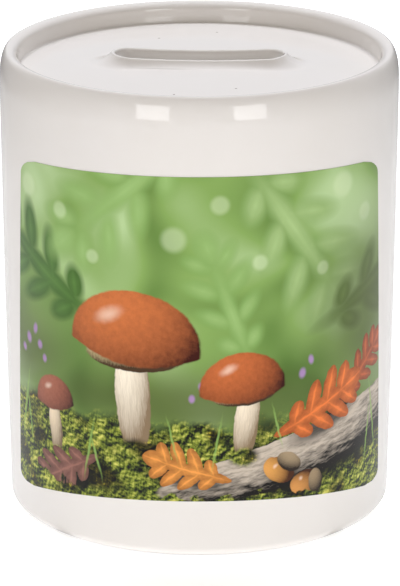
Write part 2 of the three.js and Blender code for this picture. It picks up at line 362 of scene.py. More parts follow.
# the foot stands bare where the glaze was wiped off before firing
height = addNode(tree, "ShaderNodeSeparateXYZ", {0: place}).outputs[2]
bare = addNode(tree, "ShaderNodeMapRange", {
    "Value": height, "From Min": glaze["bareBelow"] * mm, "From Max": glaze["glazedAbove"] * mm,
    "To Min": 1.0, "To Max": 0.0}).outputs[0]
tone = addNode(tree, "ShaderNodeMix", {"Factor": bare, 6: tone, 7: colour(glaze["bisque"])},
               data_type="RGBA").outputs[2]
gloss = addNode(tree, "ShaderNodeMix", {"Factor": bare, 2: glaze["roughness"],
                                        3: glaze["bareRoughness"]}).outputs[0]
wave = addNode(tree, "ShaderNodeTexNoise", {"Vector": place, "Scale": 1 / (glaze["waveSize"] * mm),
                                            "Detail": 1.0})
bump = addNode(tree, "ShaderNodeBump", {"Height": wave.outputs["Fac"], "Distance": glaze["waveDepth"] * mm,
                                        "Strength": 1.0})
shader = addNode(tree, "ShaderNodeBsdfPrincipled", {
    "Base Color": tone, "Roughness": gloss, "IOR": glaze["ior"], "Normal": bump.outputs["Normal"]})
addNode(tree, "ShaderNodeOutputMaterial", {"Surface": shader.outputs[0]})

bodyPiece = makeObject("glazed_body", bodyMesh, glazeMaterial)
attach(bodyPiece, "money_box")
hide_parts("ceramic_body")

panel = {  # millimetres and degrees; the film stands a hair off the wall
    "top": 78.7, "bottom": 12.0, "topAngle": 61.0, "bottomAngle": 67.95,
    "topArch": 4.0, "bottomArch": 7.9, "corner": 2.9,
    "lift": 0.03, "film": 0.05, "startAngle": 65, "rounds": 6, "mapRadius": 0.4, "mapSize": 100,
    "across": 180, "up": 140,
}


def panelEdges(turn):
    fall = 1 - math.cos(turn)
    return panel["bottom"] - panel["bottomArch"] * fall, panel["top"] - panel["topArch"] * fall


def printedFilm():
    bm = bmesh.new()
    bmesh.ops.create_grid(bm, x_segments=panel["across"], y_segments=panel["up"], size=0.5)
    for vert in bm.verts:
        across, up = vert.co.x * 2, vert.co.y + 0.5
        turn = across * math.radians(panel["startAngle"])
        for _ in range(panel["rounds"]):
            low, high = panelEdges(turn)
            z = low + (high - low) * up
            half = math.radians(panel["topAngle"] + (panel["bottomAngle"] - panel["topAngle"]) *
                                (panel["top"] - z) / (panel["top"] - panel["bottom"]))
            gap = min(up, 1 - up) * (high - low)
            if gap < panel["corner"]:
                # round as it is seen from the front
                over = panel["corner"] - gap
                inset = panel["corner"] - math.sqrt(max(0.0, panel["corner"] ** 2 - over ** 2))
                half = math.asin(math.sin(half) - inset / wallRadius(z))
            turn = across * half
        r = wallRadius(z) + panel["lift"]
        vert.co = (r * math.sin(turn) * mm, -r * math.cos(turn) * mm, z * mm)
    bmesh.ops.recalc_face_normals(bm, faces=bm.faces)
    if sum(f.normal.y for f in bm.faces) > 0:
        bmesh.ops.reverse_faces(bm, faces=bm.faces)
    layer = bm.loops.layers.uv.new("panelMap")
    for face in bm.faces:
        for loop in face.loops:
            co = loop.vert.co / mm
            # 1 is 100 mm, along the wall and up it
            loop[layer].uv = (math.atan2(co.x, -co.y) * panel["mapRadius"], co.z / panel["mapSize"])
    bmesh.ops.solidify(bm, geom=bm.faces, thickness=-panel["film"] * mm)
    for face in bm.faces:
        face.smooth = True
    mesh = bpy.data.meshes.new("printed_film")
    bm.to_mesh(mesh)
    bm.free()
    mesh.set_sharp_from_angle(angle=sharpAngle)
    return mesh


filmMesh = printedFilm()
print("film:", len(filmMesh.vertices), "vertices")


formInputs = (("Place", "Vector"), ("Soft", "Float"), ("Cut", "Float"), ("Streak", "Vector"),
              ("Grain", "Float"))


def newGroup(name):
    group = bpy.data.node_groups.new(name, "ShaderNodeTree")
    for socket, kind in formInputs:
        group.interface.new_socket(name=socket, in_out="INPUT", socket_type="NodeSocket" + kind)
    for socket in ("Mask", "Light"):
        group.interface.new_socket(name=socket, in_out="OUTPUT", socket_type="NodeSocketFloat")
    return group, addNode(group, "NodeGroupInput").outputs


lightFrom = (-0.3, 0.68, 0.67)
cutSag = -0.3  # a cut form's lower edge rises this much towards its sides


def roundForm():
    # a rounded body of radius 1, lit from above on the left; Cut leaves its part above that height
    group, given = newGroup("round_form")
    away = addNode(group, "ShaderNodeVectorMath", {0: given["Place"]}, operation="LENGTH").outputs["Value"]
    inside = addNode(group, "ShaderNodeMath", {0: 1.0, 1: away}, operation="SUBTRACT").outputs[0]
    inside = addNode(group, "ShaderNodeMath", {0: inside, 1: given["Soft"]}, operation="DIVIDE",
                     use_clamp=True).outputs[0]
    part = addNode(group, "ShaderNodeSeparateXYZ", {0: given["Place"]}).outputs
    bulge = addNode(group, "ShaderNodeMath", {0: part[0], 1: part[0]}, operation="MULTIPLY").outputs[0]
    bulge = addNode(group, "ShaderNodeMath", {0: bulge, 1: cutSag, 2: part[1]},
                    operation="MULTIPLY_ADD").outputs[0]
    above = addNode(group, "ShaderNodeMath", {0: bulge, 1: given["Cut"]}, operation="SUBTRACT").outputs[0]
    above = addNode(group, "ShaderNodeMath", {0: above, 1: given["Soft"]}, operation="DIVIDE",
                    use_clamp=True).outputs[0]
    mask = addNode(group, "ShaderNodeMath", {0: inside, 1: above}, operation="MULTIPLY").outputs[0]
    square = addNode(group, "ShaderNodeMath", {0: away, 1: 2.0}, operation="POWER").outputs[0]
    square = addNode(group, "ShaderNodeMath", {0: 1.0, 1: square}, operation="SUBTRACT",
                     use_clamp=True).outputs[0]
    height = addNode(group, "ShaderNodeMath", {0: square}, operation="SQRT").outputs[0]
    facing = addNode(group, "ShaderNodeCombineXYZ", {0: part[0], 1: part[1], 2: height}).outputs[0]
    light = addNode(group, "ShaderNodeVectorMath", {0: facing, 1: lightFrom},
                    operation="DOT_PRODUCT").outputs["Value"]
    streaks = addNode(group, "ShaderNodeVectorMath", {0: given["Place"], 1: given["Streak"]},
                      operation="MULTIPLY").outputs[0]
    noise = addNode(group, "ShaderNodeTexNoise", {"Vector": streaks, "Scale": 1.0, "Detail": 3.0,
                                                  "Roughness": 0.65}).outputs["Fac"]
    noise = addNode(group, "ShaderNodeMath", {0: noise, 1: 0.5}, operation="SUBTRACT").outputs[0]
    light = addNode(group, "ShaderNodeMath", {0: noise, 1: given["Grain"], 2: light},
                    operation="MULTIPLY_ADD", use_clamp=True).outputs[0]
    addNode(group, "NodeGroupOutput", {"Mask": mask, "Light": light})
    return group


leafForm = {
    # the middle and the tip with place, half sizes and turn, then height and reach of each pair of lobes
    "spine": ((0, -0.05, 0.17, 0.95, 0), (0, 0.72, 0.24, 0.3, 0)),
    "pairs": ((-0.5, 0.3), (-0.18, 0.42), (0.16, 0.45), (0.48, 0.36)),
    "out": 0.55, "up": 0.3, "width": 0.15, "length": 0.85, "turn": 58,
    "veinWidth": 0.03, "veinLength": 1.15, "blend": 0.12, "residue": 0.1,
}


def lobedLeaf():
    # an oak leaf from -1 to 1 along Y: a middle, four pairs of lobes and a tip, with a vein in each
    leaf = leafForm
    group, given = newGroup("lobed_leaf")
    lobes = list(leaf["spine"])
    for y, reach in leaf["pairs"]:
        for side in (-1, 1):
            lobes.append((side * reach * leaf["out"], y + reach * leaf["up"], leaf["width"],
                          reach * leaf["length"], -leaf["turn"] * side))
    form = 0.0
    vein = 0.0
    for x, y, width, length, turn in lobes:
        for thin in (False, True):
            size = (leaf["veinWidth"], length * leaf["veinLength"], 1) if thin else (width, length, 1)
            place = addNode(group, "ShaderNodeMapping", {
                "Vector": given["Place"], "Location": (x, y, 0), "Rotation": (0, 0, math.radians(turn)),
                "Scale": size}, vector_type="TEXTURE").outputs[0]
            near = addNode(group, "ShaderNodeTexGradient", {0: place},
                           gradient_type="SPHERICAL").outputs["Fac"]
            if thin:
                vein = addNode(group, "ShaderNodeMath", {0: near, 1: vein}, operation="MAXIMUM").outputs[0]
            else:
                form = addNode(group, "ShaderNodeMath", {0: near, 1: form, 2: leaf["blend"]},
                               operation="SMOOTH_MAX").outputs[0]
    # blending ten lobes leaves a little everywhere, which is taken off again
    form = addNode(group, "ShaderNodeMath", {0: form, 1: leaf["residue"]}, operation="SUBTRACT").outputs[0]
    mask = addNode(group, "ShaderNodeMath", {0: form, 1: given["Soft"]}, operation="DIVIDE",
                   use_clamp=True).outputs[0]
    streaks = addNode(group, "ShaderNodeVectorMath", {0: given["Place"], 1: given["Streak"]},
                      operation="MULTIPLY").outputs[0]
    noise = addNode(group, "ShaderNodeTexNoise", {"Vector": streaks, "Scale": 1.0, "Detail": 3.0,
                                                  "Roughness": 0.6}).outputs["Fac"]
    noise = addNode(group, "ShaderNodeMath", {0: noise, 1: given["Grain"]}, operation="MULTIPLY").outputs[0]
    sharp = addNode(group, "ShaderNodeMath", {0: given["Soft"], 1: -0.7, 2: 0.45},
                    operation="MULTIPLY_ADD", use_clamp=True).outputs[0]
    light = addNode(group, "ShaderNodeMath", {0: vein, 1: sharp, 2: noise},
                    operation="MULTIPLY_ADD").outputs[0]
    light = addNode(group, "ShaderNodeMath", {0: form, 1: 0.5, 2: light}, operation="MULTIPLY_ADD",
                    use_clamp=True).outputs[0]
    addNode(group, "NodeGroupOutput", {"Mask": mask, "Light": light})
    return group


# 1 is 100 mm: kind, place, half width and half height, turn, dark and light colour, soft edge, cut,
# streaks, grain
backLeaves = [
    ("leaf", (-0.36, 0.56), (0.20, 0.22), 62, "#2a4c12", "#5f8a3c", 0.42, 0, (2, 2, 1), 0.5),
    ("leaf", (-0.16, 0.74), (0.20, 0.24), 130, "#769d4a", "#a9cc80", 0.6, 0, (2, 2, 1), 0.5),
    ("leaf", (0.20, 0.66), (0.22, 0.26), 215, "#6f9446", "#b8d490", 0.55, 0, (2, 2, 1), 0.5),
    ("leaf", (0.42, 0.52), (0.18, 0.24), 290, "#3f5c20", "#7a9a4a", 0.5, 0, (2, 2, 1), 0.5),
    ("leaf", (0.06, 0.52), (0.15, 0.18), 20, "#6c9542", "#a6c87c", 0.6, 0, (2, 2, 1), 0.5),
]
motifs = [
    ("leaf", (0.385, 0.345), (0.085, 0.105), -52, "#481a0c", "#c2602f", 0.05, 0, (7, 5, 1), 0.75),
    ("round", (0.30, 0.215), (0.40, 0.055), 12, "#140f0b", "#c9bba9", 0.03, -9, (9, 6, 1), 2.4),
    ("round", (-0.135, 0.335), (0.038, 0.140), 3, "#8a7458", "#fff3dc", 0.06, -9, (10, 3, 1), 0.7),
    ("round", (-0.135, 0.415), (0.105, 0.032), 0, "#4a3520", "#d8c48e", 0.06, -9, (26, 3, 1), 0.7),
    ("round", (-0.135, 0.440), (0.140, 0.112), -4, "#3f1408", "#d0743c", 0.035, -0.42, (9, 7, 1), 0.55),
    ("round", (0.095, 0.285), (0.026, 0.092), -6, "#867053", "#fbecd2", 0.07, -9, (10, 3, 1), 0.7),
    ("round", (0.090, 0.337), (0.066, 0.020), 3, "#463220", "#ccb782", 0.08, -9, (26, 3, 1), 0.7),
    ("round", (0.088, 0.352), (0.090, 0.078), 3, "#3a1207", "#c86a34", 0.045, -0.40, (8, 6, 1), 0.55),
    ("round", (-0.325, 0.235), (0.019, 0.072), 5, "#7c6850", "#efdcbc", 0.08, -9, (10, 3, 1), 0.7),
    ("round", (-0.328, 0.287), (0.058, 0.056), 5, "#33150f", "#a8634a", 0.06, -0.36, (7, 6, 1), 0.55),
    "roots", "shade",
    ("leaf", (0.26, 0.290), (0.115, 0.130), -68, "#5c1f06", "#ee7f38", 0.04, 0, (7, 5, 1), 0.75),
    ("leaf", (-0.02, 0.185), (0.090, 0.100), 74, "#6b3208", "#f0a04a", 0.04, 0, (7, 5, 1), 0.75),
    ("leaf", (-0.30, 0.150), (0.100, 0.110), 118, "#3a201c", "#9a6a5c", 0.04, 0, (7, 5, 1), 0.75),
    ("round", (0.165, 0.175), (0.026, 0.038), 60, "#4a2408", "#e0a050", 0.06, -9, (12, 2, 1), 0.3),
    ("round", (0.188, 0.189), (0.030, 0.019), -30, "#2a2018", "#a89272", 0.08, -9, (16, 16, 1), 1.1),
    ("round", (0.225, 0.140), (0.025, 0.036), 100, "#42200a", "#d6944c", 0.06, -9, (12, 2, 1), 0.3),
    ("round", (0.252, 0.136), (0.018, 0.028), 8, "#2a2018", "#a08a6a", 0.08, -9, (16, 16, 1), 1.1),
    "blades", "glints",
]
# soft ellipses laid over the picture together: colour (none for the moss itself), strength, soft edge,
# then place, half sizes and turn of each
spots = {
    "discs": ("#e2f1c6", 0.34, 0.5, [
        (-0.40, 0.72, 0.030, 0.030, 0), (-0.30, 0.69, 0.022, 0.022, 0), (-0.05, 0.66, 0.032, 0.032, 0),
        (0.04, 0.73, 0.024, 0.024, 0), (0.12, 0.61, 0.020, 0.020, 0), (0.31, 0.74, 0.034, 0.034, 0),
        (0.38, 0.67, 0.024, 0.024, 0), (0.26, 0.58, 0.018, 0.018, 0), (-0.22, 0.61, 0.018, 0.018, 0)]),
    "gloom": ("#4b5226", 0.72, 0.9, [
        (0.42, 0.44, 0.28, 0.34, 0), (-0.42, 0.38, 0.22, 0.16, 0), (-0.02, 0.32, 0.60, 0.12, 0)]),
    "heather": ("#b98ccc", 0.75, 0.7, [
        (-0.41, 0.40, 0.012, 0.016, 10), (-0.385, 0.425, 0.010, 0.016, -15), (-0.37, 0.395, 0.011, 0.013, 0),
        (-0.43, 0.375, 0.010, 0.012, 20), (-0.355, 0.37, 0.009, 0.012, 0), (0.005, 0.36, 0.010, 0.013, 15),
        (-0.015, 0.335, 0.009, 0.012, 0), (0.215, 0.37, 0.011, 0.015, -10),
        (0.235, 0.395, 0.009, 0.014, 12)]),
    "ground": ("#0c0a06", 0.95, 0.6, [
        (0.31, 0.185, 0.42, 0.060, 12), (-0.12, 0.215, 0.080, 0.030, 0), (0.105, 0.215, 0.060, 0.024, 0),
        (-0.02, 0.165, 0.12, 0.040, -10), (-0.30, 0.130, 0.13, 0.040, 10)]),
    "shade": ("#0c0a06", 0.85, 0.7, [
        (0.275, 0.258, 0.125, 0.036, 20), (0.185, 0.156, 0.070, 0.032, -20),
        (-0.02, 0.168, 0.10, 0.034, -10)]),
    "roots": (None, 1.0, 0.5, [
        (-0.130, 0.218, 0.060, 0.032, 0), (-0.105, 0.200, 0.040, 0.026, 20), (0.090, 0.210, 0.040, 0.024, 0),
        (-0.317, 0.178, 0.036, 0.020, 0)]),
    "blades": ("#93b85c", 0.75, 0.8, [
        (-0.43, 0.26, 0.0045, 0.10, -14), (-0.415, 0.24, 0.004, 0.08, 9), (-0.235, 0.21, 0.0045, 0.085, -12),
        (-0.22, 0.20, 0.004, 0.07, 16), (-0.055, 0.25, 0.0035, 0.06, 13), (0.035, 0.24, 0.004, 0.075, -10),
        (0.16, 0.27, 0.0035, 0.06, 14), (0.43, 0.23, 0.0045, 0.11, 12), (0.41, 0.20, 0.004, 0.08, -8)]),
    "glints": ("#ffe6cf", 0.55, 1.0, [
        (-0.185, 0.497, 0.045, 0.022, 24), (0.058, 0.394, 0.028, 0.013, 26),
        (-0.346, 0.315, 0.018, 0.009, 26),
        (0.157, 0.184, 0.009, 0.006, 40), (0.215, 0.149, 0.008, 0.006, 30)]),
}
printing = {
    # a transfer print fired onto the glaze: full, slightly soft colours under a thin skin that shines
    # less than the bare glaze round it
    "roughness": 0.2, "ior": 1.42, "rippleScale": 60.0, "ripple": 0.006, "hazeScale": 4.5,
    "hillScale": 7.0, "hillRise": 0.16, "hillFoot": 0.20, "hillEdge": (-0.02, 0.015),
    "mossScale": 30.0, "mossShift": (0.0025, -0.0045, 0), "mossRelief": 1.6,
    "soilScale": 11.0, "soilEdge": (0.48, 0.62),
    "tuftScale": 28.0, "tuftRise": 0.10, "tuftFoot": 0.075, "tuftEdge": (-0.003, 0.004),
}
printMaterial, tree = newMaterial("fired_print")
flat = addNode(tree, "ShaderNodeUVMap", uv_map="panelMap").outputs[0]
# a slight waver, so that no outline is a perfect ellipse
ripple = addNode(tree, "ShaderNodeTexNoise", {"Vector": flat, "Scale": printing["rippleScale"],
                                              "Detail": 2.0}).outputs["Color"]
ripple = addNode(tree, "ShaderNodeVectorMath", {0: ripple, 1: (0.5, 0.5, 0.5)},
                 operation="SUBTRACT").outputs[0]
wavy = addNode(tree, "ShaderNodeVectorMath", {
    0: ripple, 1: (printing["ripple"], printing["ripple"], 0), 2: flat}, operation="MULTIPLY_ADD").outputs[0]
forms = {"round": roundForm(), "leaf": lobedLeaf()}


def spread(picture, source, code, strength, soft, places):
    near = 0.0
    for x, y, width, height, turn in places:
        local = addNode(tree, "ShaderNodeMapping", {
            "Vector": source, "Location": (x, y, 0), "Rotation": (0, 0, math.radians(turn)),
            "Scale": (width, height, 1)}, vector_type="TEXTURE").outputs[0]
        spot = addNode(tree, "ShaderNodeTexGradient", {0: local}, gradient_type="SPHERICAL").outputs["Fac"]
        near = addNode(tree, "ShaderNodeMath", {0: spot, 1: near}, operation="MAXIMUM").outputs[0]
    mask = addNode(tree, "ShaderNodeMapRange", {"Value": near, "From Max": soft, "To Max": strength},
                   interpolation_type="SMOOTHSTEP").outputs[0]
    return addNode(tree, "ShaderNodeMix", {"Factor": mask, 6: picture, 7: colour(code) if code else earth},
                   data_type="RGBA").outputs[2]


def layOver(picture, motif, source):
    # one motif, or one set of spots, over the picture so far
    if motif in spots:
        return spread(picture, source, *spots[motif])
    kind, place, size, turn, dark, light, soft, cut, streak, grain = motif
    local = addNode(tree, "ShaderNodeMapping", {
        "Vector": source, "Location": (place[0], place[1], 0), "Rotation": (0, 0, math.radians(turn)),
        "Scale": (size[0], size[1], 1)}, vector_type="TEXTURE").outputs[0]
    form = addNode(tree, "ShaderNodeGroup", node_tree=forms[kind])
    tree.links.new(local, form.inputs["Place"])
    for name, value in (("Soft", soft), ("Cut", cut), ("Streak", streak), ("Grain", grain)):
        form.inputs[name].default_value = value
    shade = addNode(tree, "ShaderNodeMix", {"Factor": form.outputs["Light"], 6: colour(dark),
                                            7: colour(light)}, data_type="RGBA").outputs[2]
    return addNode(tree, "ShaderNodeMix", {"Factor": form.outputs["Mask"], 6: picture, 7: shade},
                   data_type="RGBA").outputs[2]


haze = addNode(tree, "ShaderNodeTexNoise", {"Vector": flat, "Scale": printing["hazeScale"], "Detail": 1.0,
                                            "Distortion": 0.6})
ramp = addNode(tree, "ShaderNodeValToRGB", {"Fac": haze.outputs["Fac"]})
ramp.color_ramp.elements[0].position = 0.3
ramp.color_ramp.elements[0].color = colour("#4f7429")
ramp.color_ramp.elements[1].position = 0.72
ramp.color_ramp.elements[1].color = colour("#bcd79c")
ramp.color_ramp.elements.new(0.5).color = colour("#88aa5a")
picture = ramp.outputs[0]
for motif in backLeaves:
    picture = layOver(picture, motif, flat)
picture = layOver(picture, "discs", flat)
picture = layOver(picture, "gloom", flat)
# the mossy ground: soft at its far edge, crisp moss with darker hollows in front
level = addNode(tree, "ShaderNodeSeparateXYZ", {0: flat}).outputs[1]
hills = addNode(tree, "ShaderNodeTexNoise", {"Vector": flat, "Scale": printing["hillScale"],
                                             "Detail": 3.0}).outputs["Fac"]
top = addNode(tree, "ShaderNodeMath", {0: hills, 1: printing["hillRise"], 2: printing["hillFoot"]},
              operation="MULTIPLY_ADD").outputs[0]
depth = addNode(tree, "ShaderNodeMath", {0: top, 1: level}, operation="SUBTRACT").outputs[0]
start, end = printing["hillEdge"]
ground = addNode(tree, "ShaderNodeMapRange", {"Value": depth, "From Min": start, "From Max": end},
                 interpolation_type="SMOOTHSTEP").outputs[0]
# the moss, and the moss a little lower: their difference is its relief
moss = []
for shift in ((0, 0, 0), printing["mossShift"]):
    place = addNode(tree, "ShaderNodeVectorMath", {0: flat, 1: shift}).outputs[0]
    moss.append(addNode(tree, "ShaderNodeTexNoise", {"Vector": place, "Scale": printing["mossScale"],
                                                     "Detail": 5.0, "Roughness": 0.7}).outputs["Fac"])
relief = addNode(tree, "ShaderNodeMath", {0: moss[0], 1: moss[1]}, operation="SUBTRACT").outputs[0]
relief = addNode(tree, "ShaderNodeMath", {0: relief, 1: printing["mossRelief"], 2: moss[0]},
                 operation="MULTIPLY_ADD").outputs[0]
ramp = addNode(tree, "ShaderNodeValToRGB", {"Fac": relief})
ramp.color_ramp.elements[0].position = 0.28
ramp.color_ramp.elements[0].color = colour("#15150c")
ramp.color_ramp.elements[1].position = 0.8
ramp.color_ramp.elements[1].color = colour("#d8d468")
ramp.color_ramp.elements.new(0.42).color = colour("#3c4a18")
ramp.color_ramp.elements.new(0.58).color = colour("#86932e")
soil = addNode(tree, "ShaderNodeTexNoise", {"Vector": flat, "Scale": printing["soilScale"],
                                            "Detail": 2.0}).outputs["Fac"]
start, end = printing["soilEdge"]
soil = addNode(tree, "ShaderNodeMapRange", {"Value": soil, "From Min": start, "From Max": end}).outputs[0]
earth = addNode(tree, "ShaderNodeMix", {"Factor": soil, 6: ramp.outputs[0], 7: colour("#54493c")},
                data_type="RGBA", blend_type="OVERLAY").outputs[2]
picture = layOver(picture, "heather", flat)
picture = addNode(tree, "ShaderNodeMix", {"Factor": ground, 6: picture, 7: earth},
                  data_type="RGBA").outputs[2]
picture = layOver(picture, "ground", flat)
for motif in motifs:
    picture = layOver(picture, motif, wavy)
# tufts of moss hide where the stems and the branch meet the ground
tufts = addNode(tree, "ShaderNodeTexNoise", {"Vector": flat, "Scale": printing["tuftScale"],
                                             "Detail": 4.0}).outputs["Fac"]
edge = addNode(tree, "ShaderNodeMath", {0: tufts, 1: printing["tuftRise"], 2: printing["tuftFoot"]},
               operation="MULTIPLY_ADD").outputs[0]
edge = addNode(tree, "ShaderNodeMath", {0: edge, 1: level}, operation="SUBTRACT").outputs[0]
start, end = printing["tuftEdge"]
edge = addNode(tree, "ShaderNodeMapRange", {"Value": edge, "From Min": start, "From Max": end}).outputs[0]
picture = addNode(tree, "ShaderNodeMix", {"Factor": edge, 6: picture, 7: earth},
                  data_type="RGBA").outputs[2]
shader = addNode(tree, "ShaderNodeBsdfPrincipled", {
    "Base Color": picture, "Roughness": printing["roughness"], "IOR": printing["ior"]})
addNode(tree, "ShaderNodeOutputMaterial", {"Surface": shader.outputs[0]})
filmPiece = makeObject("printed_film", filmMesh, printMaterial)
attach(filmPiece, "money_box")
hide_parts("printed_panel")
print("print:", len(backLeaves) + len(motifs), "layers")

stopper = {  # millimetres
    "clearance": 0.3, "overlap": 2.8, "flange": 1.8, "edge": 0.6, "reach": 2.2, "skin": 1.8, "wall": 2.2,
    "ribs": 3, "ribDepth": 0.8, "gripWidth": 4.0, "gripInset": 0.7, "gripRoot": 0.8, "around": 192,
}


def stopperChain():
    s = stopper
    neck = body["hole"] - s["clearance"]
    flange = body["hole"] + s["overlap"]
    flangeTop = body["footHeight"] - s["clearance"]
    face = flangeTop - s["flange"]
    roof = baseTop + s["reach"]
    groove = neck - s["ribDepth"]
    hollow = groove - s["wall"]
    ceiling = roof - s["skin"]
    pitch = (roof - flangeTop) / (s["ribs"] + 1)
    lead = pitch / 2
    points = [(0, ceiling), (hollow / 2, ceiling)]
    points += arc(hollow - lead, ceiling - lead, lead, lead, 90, 0, 6)
    points += arc(hollow + s["edge"], face + s["edge"], s["edge"], s["edge"], 180, 270, 5)
    points += arc(flange - s["edge"], face + s["edge"], s["edge"], s["edge"], -90, 0, 6)
    points += arc(flange - s["edge"], flangeTop - s["edge"], s["edge"], s["edge"], 0, 90, 6)
    points += [(groove + 0.25, flangeTop), (groove + 0.05, flangeTop + 0.08)]
    # each rib: a slope out, a narrow rounded crest and a longer slope back
    for i in range(s["ribs"]):
        z = flangeTop + pitch * (i + 0.25)
        points += [(groove, z), (groove + s["ribDepth"] * 0.45, z + pitch * 0.16),
                   (neck - 0.08, z + pitch * 0.29), (neck, z + pitch * 0.36), (neck, z + pitch * 0.42),
                   (neck - 0.08, z + pitch * 0.49), (groove + s["ribDepth"] * 0.45, z + pitch * 0.66),
                   (groove, z + pitch * 0.85)]
    points += arc(groove - lead, roof - lead, lead, lead, 0, 90, 6)
    points += [(groove / 2, roof), (0, roof)]
    return cleanChain(points), face, ceiling, hollow


def rubberStopper():
    chain, face, ceiling, hollow = stopperChain()
    bm = bmesh.new()
    spinProfile(bm, chain, stopper["around"])
    cup = finishMesh(bm, "rubber_stopper")
    # the web that the fingers pinch: a rounded bar across the hollow
    half = stopper["gripWidth"] / 2
    tip = face + stopper["gripInset"]
    top = ceiling + stopper["skin"] / 2
    outline = [(-half, top)] + arc(0, tip + half, half, half, 180, 360, 24) + [(half, top)]
    reach = hollow + stopper["gripRoot"]
    bm = bmesh.new()
    verts = [bm.verts.new((-reach * mm, y * mm, z * mm)) for y, z in outline]
    end = bm.faces.new(verts)
    grown = bmesh.ops.extrude_face_region(bm, geom=[end])["geom"]
    moved = [g for g in grown if isinstance(g, bmesh.types.BMVert)]
    bmesh.ops.translate(bm, verts=moved, vec=(2 * reach * mm, 0, 0))
    web = makeObject("web", finishMesh(bm, "web"))
    piece = makeObject("rubber_stopper", cup)
    join = piece.modifiers.new("join", "BOOLEAN")
    join.operation = "UNION"
    join.solver = "EXACT"
    join.object = web
    bpy.context.view_layer.update()
    done = bpy.data.meshes.new_from_object(piece.evaluated_get(bpy.context.evaluated_depsgraph_get()))
    piece.modifiers.clear()
    piece.data = done
    bpy.data.objects.remove(web)
    done.name = "rubber_stopper"
    done.shade_smooth()
    done.set_sharp_from_angle(angle=sharpAngle)
    return piece


stopperPiece = rubberStopper()
print("stopper:", len(stopperPiece.data.vertices), "vertices")
rubber = {
    # compression-moulded rubber: nearly black, with a fine dull grain that spreads its shine
    "dark": "#232426", "light": "#2f3032", "roughness": 0.55, "ior": 1.52,
    "grainSize": 0.5, "grainDepth": 0.02,
}
rubberMaterial, tree = newMaterial("moulded_rubber")
place = addNode(tree, "ShaderNodeTexCoord").outputs["Object"]
grain = addNode(tree, "ShaderNodeTexNoise", {"Vector": place, "Scale": 1 / (rubber["grainSize"] * mm),
                                             "Detail": 3.0})
bump = addNode(tree, "ShaderNodeBump", {"Height": grain.outputs["Fac"], "Distance": rubber["grainDepth"] * mm,
                                        "Strength": 1.0})
ramp = addNode(tree, "ShaderNodeValToRGB", {"Fac": grain.outputs["Fac"]})
ramp.color_ramp.elements[0].color = colour(rubber["dark"])
ramp.color_ramp.elements[1].color = colour(rubber["light"])
shader = addNode(tree, "ShaderNodeBsdfPrincipled", {
    "Base Color": ramp.outputs[0], "Roughness": rubber["roughness"], "IOR": rubber["ior"],
    "Normal": bump.outputs["Normal"]})
addNode(tree, "ShaderNodeOutputMaterial", {"Surface": shader.outputs[0]})
stopperPiece.data.materials.clear()
stopperPiece.data.materials.append(rubberMaterial)
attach(stopperPiece, "bung")
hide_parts("stopper")

studio = {
    "ambient": "#fff4e9", "ambientLevel": 0.43, "ambientFall": 0.35, "ambientSides": 0.75,
    "ambientLean": (-0.16, -0.22, 0),
    "mirrorBack": 0.5, "mirrorFront": 0.16, "mirrorLow": 0.06, "mirrorHigh": 0.15,
    "horizonEdge": (0.02, 0.16), "behindEdge": (-0.3, 0.5), "overheadEdge": (0.4, 0.7),
    "glowNear": 0.24, "glowFar": 0.42, "tableMirror": 0.92, "tableFar": 0.08, "tableFront": 0.35,
    "frontFade": -0.12, "footCircle": 0.0375,
    "highPlace": (0, 0.50, 1.0), "highAim": (0, 0, 0.09), "highSize": (0.8, 0.6), "highPower": 12.9,
    "highColour": "#f1f5ff",
    "cardInner": 0.029, "cardOuter": 0.2, "cardHeight": 0.0003,
    "cardPowers": (0.106, 0.092, 0.018, 0.096), "cardColour": "#f6f9ff",
    "distance": 0.80, "aimHeight": 0.0471, "pitch": 17.78, "tilt": 18.10068, "yaw": -0.01019, "lens": 241.73,
    "sensor": 36.0, "clipStart": 0.01,
    "lampDistance": 0.4, "lampLow": 0.045, "lampHigh": 0.195, "lampWidth": 0.125,
    "lampAzimuths": (-24.9, 27.3), "lampPower": 0.245,
    "floorRadius": 4.0, "floorDrop": 0.00002, "floorColour": "#f2f2f2", "floorGlow": 0.65,
}
world = bpy.data.worlds.new("studio_world")
bpy.context.scene.world = world
world.use_nodes = True
tree = world.node_tree
tree.nodes.clear()
# the camera sees plain white, while the glaze mirrors a half-bright backdrop behind the piece and a dim
# room in front and overhead
path = addNode(tree, "ShaderNodeLightPath").outputs
way = addNode(tree, "ShaderNodeTexCoord").outputs["Generated"]
part = addNode(tree, "ShaderNodeSeparateXYZ", {0: way}).outputs
start, end = studio["horizonEdge"]
backdrop = addNode(tree, "ShaderNodeMapRange", {
    "Value": part[2], "From Min": start, "From Max": end, "To Min": studio["mirrorLow"],
    "To Max": studio["mirrorBack"]}).outputs[0]
start, end = studio["behindEdge"]
behind = addNode(tree, "ShaderNodeMapRange", {"Value": part[1], "From Min": start,
                                              "From Max": end}).outputs[0]
mirrored = addNode(tree, "ShaderNodeMix", {"Factor": behind, 2: studio["mirrorFront"],
                                           3: backdrop}).outputs[0]
start, end = studio["overheadEdge"]
high = addNode(tree, "ShaderNodeMapRange", {"Value": part[2], "From Min": start, "From Max": end}).outputs[0]
mirrored = addNode(tree, "ShaderNodeMix", {"Factor": high, 2: mirrored,
                                           3: studio["mirrorHigh"]}).outputs[0]
